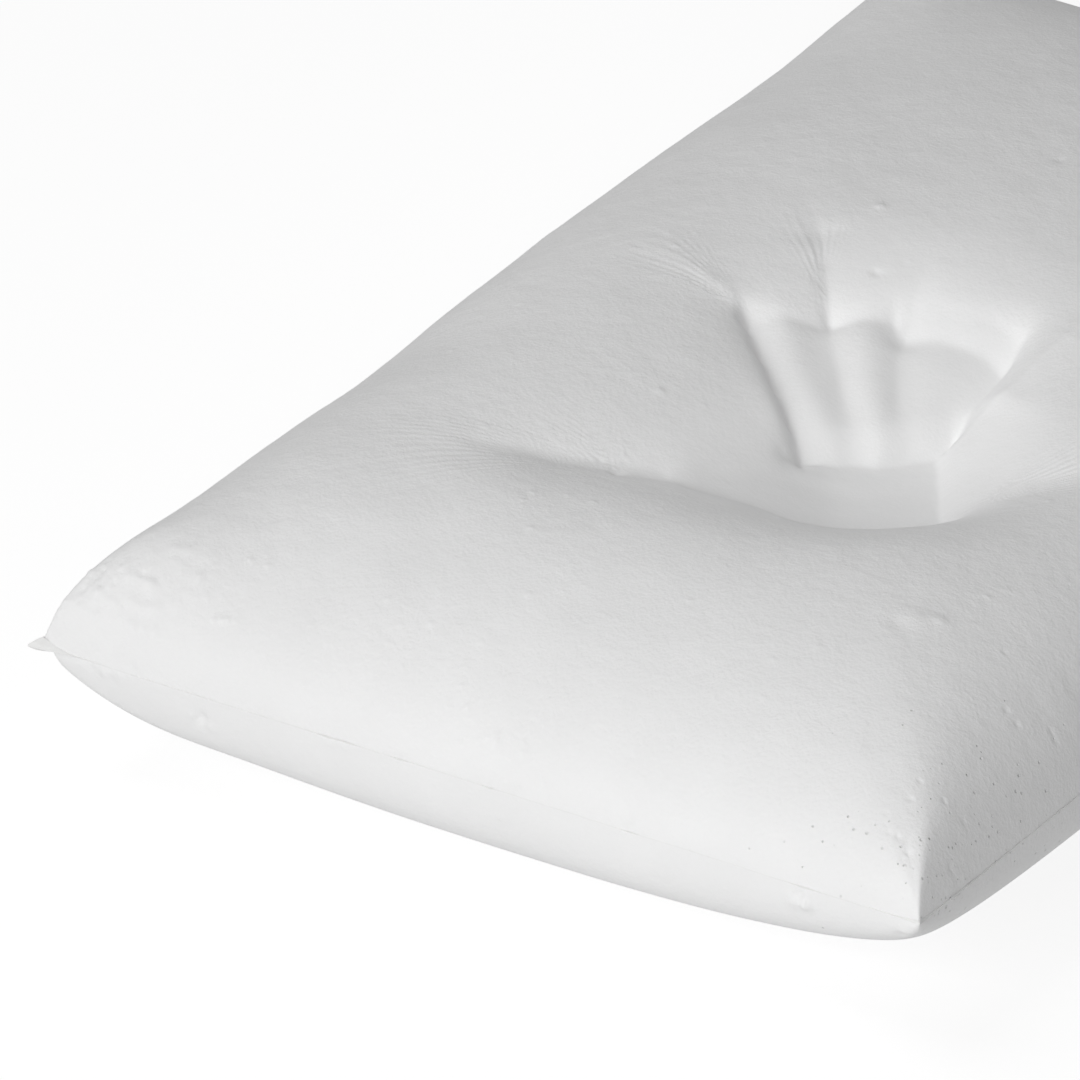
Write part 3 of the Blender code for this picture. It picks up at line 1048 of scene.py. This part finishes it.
def pinholes(tree, place, pitted):
    """Small round holes, one in some of the cells; more cells have one where the skin is pitted."""
    cells = tree.nodes.new("ShaderNodeTexVoronoi")
    cells.inputs["Scale"].default_value = PIT_CELLS
    tree.links.new(place, cells.inputs["Vector"])
    chance = tree.nodes.new("ShaderNodeSeparateColor")
    tree.links.new(cells.outputs["Color"], chance.inputs["Color"])
    has_hole = combine(tree, "LESS_THAN", chance.outputs["Red"], pitted)
    size = map_range(tree, chance.outputs["Green"], (0.0, 1.0), PIT_SIZES)
    depth = combine(tree, "DIVIDE", combine(tree, "SUBTRACT", size, cells.outputs["Distance"]), size)
    inside = combine(tree, "MAXIMUM", depth, 0.0)
    return combine(tree, "MULTIPLY", inside, has_hole)


def foam_skin():
    """White moulded foam: fine pebble grain, smoother in the imprint; lighter there by painted light,
    and with painted shade in the pinholes.
    """
    material, tree, shader, place = new_material("foam_skin")
    # How much painted light the skin gets, which also calms its grain
    painted_light_and_smoothing = read_shares(tree, "painted_light_and_smoothing")
    pit = pinholes(tree, place, read_shares(tree, "pitted"))
    cloudy = noise(tree, place, CLOUD_SCALE, detail=4.0)
    mottled = map_range(tree, cloudy, NOISE_VALUES, CLOUD_SHARES)
    # Random mottling, plus painted light in the imprint, moves the tone towards the lighter one
    share = combine(tree, "ADD", mottled, combine(tree, "MULTIPLY", painted_light_and_smoothing, PAINTED_LIGHT_SHARE))
    skin = mix_colours(tree, share, FOAM_TONE, PAINTED_LIGHT_TONE)
    # Painted shade: the pinholes are coloured darker than the skin
    tree.links.new(mix_colours(tree, pit, skin, PAINTED_PIT_SHADE), shader.inputs["Base Color"])
    grain = noise(tree, place, GRAIN_SCALE, detail=3.0, roughness=0.55)
    creases = noise(tree, place, CREASE_SCALE, detail=2.0)
    height = combine(tree, "ADD", grain, combine(tree, "MULTIPLY", creases, CREASE_WEIGHT))
    calm = map_range(tree, painted_light_and_smoothing, (0.0, 1.0), (1.0, PRESSED_CALM))
    grained = add_bump(tree, combine(tree, "MULTIPLY", height, calm), GRAIN_HEIGHT)
    normal = add_bump(tree, combine(tree, "MULTIPLY", pit, -1.0), PIT_DEPTH, grained)
    tree.links.new(normal, shader.inputs["Normal"])
    tree.links.new(map_range(tree, grain, NOISE_VALUES, FOAM_ROUGHNESS), shader.inputs["Roughness"])
    shader.inputs["Specular IOR Level"].default_value = FOAM_SPECULAR
    return material


def flash_film():
    """The thin film: the same foam, a little yellower and denser, with a dull torn surface."""
    material, tree, shader, place = new_material("flash_film")
    cloudy = noise(tree, place, FILM_CLOUD_SCALE, detail=3.0)
    tone = mix_colours(tree, cloudy, FILM_DARK_TONE, FILM_LIGHT_TONE)
    tree.links.new(tone, shader.inputs["Base Color"])
    grain = noise(tree, place, FILM_GRAIN_SCALE, detail=3.0)
    tree.links.new(add_bump(tree, grain, FILM_GRAIN_HEIGHT), shader.inputs["Normal"])
    tree.links.new(map_range(tree, cloudy, NOISE_VALUES, FILM_ROUGHNESS), shader.inputs["Roughness"])
    return material


# ---------------------------------------------------------------- studio
def build_stage():
    """A plain floor that glows more for the camera than it lights the pillow."""
    bpy.ops.mesh.primitive_plane_add(size=FLOOR_SIZE)
    floor = bpy.context.object
    floor.name = "floor"
    material = bpy.data.materials.new("white_floor")
    material.use_nodes = True
    tree = material.node_tree
    shader = tree.nodes["Principled BSDF"]
    shader.inputs["Base Color"].default_value = (FLOOR_TONE, FLOOR_TONE, FLOOR_TONE, 1.0)
    shader.inputs["Roughness"].default_value = 1.0
    shader.inputs["Specular IOR Level"].default_value = 0.0
    shader.inputs["Emission Color"].default_value = WHITE
    path = tree.nodes.new("ShaderNodeLightPath")
    glow = map_range(tree, path.outputs["Is Camera Ray"], (0.0, 1.0), (FLOOR_BOUNCE, FLOOR_GLOW))
    tree.links.new(glow, shader.inputs["Emission Strength"])
    floor.data.materials.append(material)


def direction(compass, height):
    """Direction from compass degrees, anticlockwise from x, and degrees over the floor."""
    around = math.radians(compass)
    up = math.radians(height)
    return Vector((math.cos(around) * math.cos(up), math.sin(around) * math.cos(up), math.sin(up)))


def link_facing(name, data, place, forward):
    """Adds a light or a camera that faces forward from its place."""
    item = link_object(name, data)
    item.location = place
    item.rotation_mode = "QUATERNION"
    item.rotation_quaternion = forward.to_track_quat("-Z", "Y")
    return item


def add_soft_box(name, compass, height, power):
    """A large square light, aimed at the pillow's near half."""
    light = bpy.data.lights.new(name, "AREA")
    light.shape = "SQUARE"
    light.size = LIGHT_SIZE
    light.energy = power
    aim = Vector(LIGHTS_AIM)
    place = aim + direction(compass, height) * LIGHT_DISTANCE
    link_facing(name, light, place, aim - place)


def add_accent():
    """A soft spot from behind the camera that opens up the imprint."""
    light = bpy.data.lights.new("imprint_accent", "SPOT")
    light.energy = ACCENT_POWER
    light.spot_size = ACCENT_CONE
    light.spot_blend = 1.0
    light.shadow_soft_size = ACCENT_RADIUS
    offset = AHEAD * ACCENT_AHEAD - LEFT * ACCENT_RIGHT
    centre = Vector((*KNUCKLES, PARTING + ACCENT_LIFT)) + Vector((*offset, 0.0))
    towards = direction(ACCENT_COMPASS, ACCENT_HEIGHT)
    link_facing("imprint_accent", light, centre + towards * LIGHT_DISTANCE, -towards)


def build_lights():
    """Soft boxes, the accent and a pale surround."""
    world = bpy.data.worlds.new("studio")
    world.use_nodes = True
    background = world.node_tree.nodes["Background"]
    background.inputs["Color"].default_value = WHITE
    background.inputs["Strength"].default_value = AMBIENT
    bpy.context.scene.world = world
    for soft_box in SOFT_BOXES:
        add_soft_box(*soft_box)
    add_accent()
    bpy.context.scene.view_settings.view_transform = "Standard"


def build_camera():
    """A distant camera with a long lens, so that parallel lines stay almost parallel."""
    right = Vector((math.cos(VIEW_BEARING), math.sin(VIEW_BEARING), 0.0))
    level = Vector((-math.sin(VIEW_BEARING), math.cos(VIEW_BEARING), 0.0))
    overhead = Vector((0.0, 0.0, 1.0))
    forward = level * math.cos(VIEW_HEIGHT) - overhead * math.sin(VIEW_HEIGHT)
    upward = level * math.sin(VIEW_HEIGHT) + overhead * math.cos(VIEW_HEIGHT)
    near_end = Vector((-LENGTH / 2, 0.0, PARTING + VIEW_LIFT))
    target = near_end + right * VIEW_RIGHT + upward * VIEW_UP
    camera = bpy.data.cameras.new("camera")
    camera.sensor_width = SENSOR_WIDTH
    camera.lens = PIXELS_PER_METRE * VIEW_DISTANCE / PICTURE_PIXELS * SENSOR_WIDTH
    camera.clip_end = CLIP_END
    place = target - forward * VIEW_DISTANCE
    bpy.context.scene.camera = link_facing("camera", camera, place, forward)


# ---------------------------------------------------------------- putting it together
def dress_foam():
    """Puts the dented foam in the place of the plain core."""
    foam = build_foam()
    foam.data.materials.append(foam_skin())
    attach(foam, "root")
    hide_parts("foam_core")


def dress_flash():
    """Puts a thin film in the place of each run of flash."""
    film = flash_film()
    pieces = []
    for index, (name, along_x, side) in enumerate(SIDES):
        pieces.append((name, build_edge_flash(name, along_x, side, FIN_SEED + index)))
    for index, name in enumerate(WEBS):
        pieces.append((name, build_corner_flash(name, WEB_SEED + index)))
    for name, piece in pieces:
        piece.data.materials.append(film)
        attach(piece, "root")
        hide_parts(name)


dress_foam()
dress_flash()
build_stage()
build_lights()
build_camera()
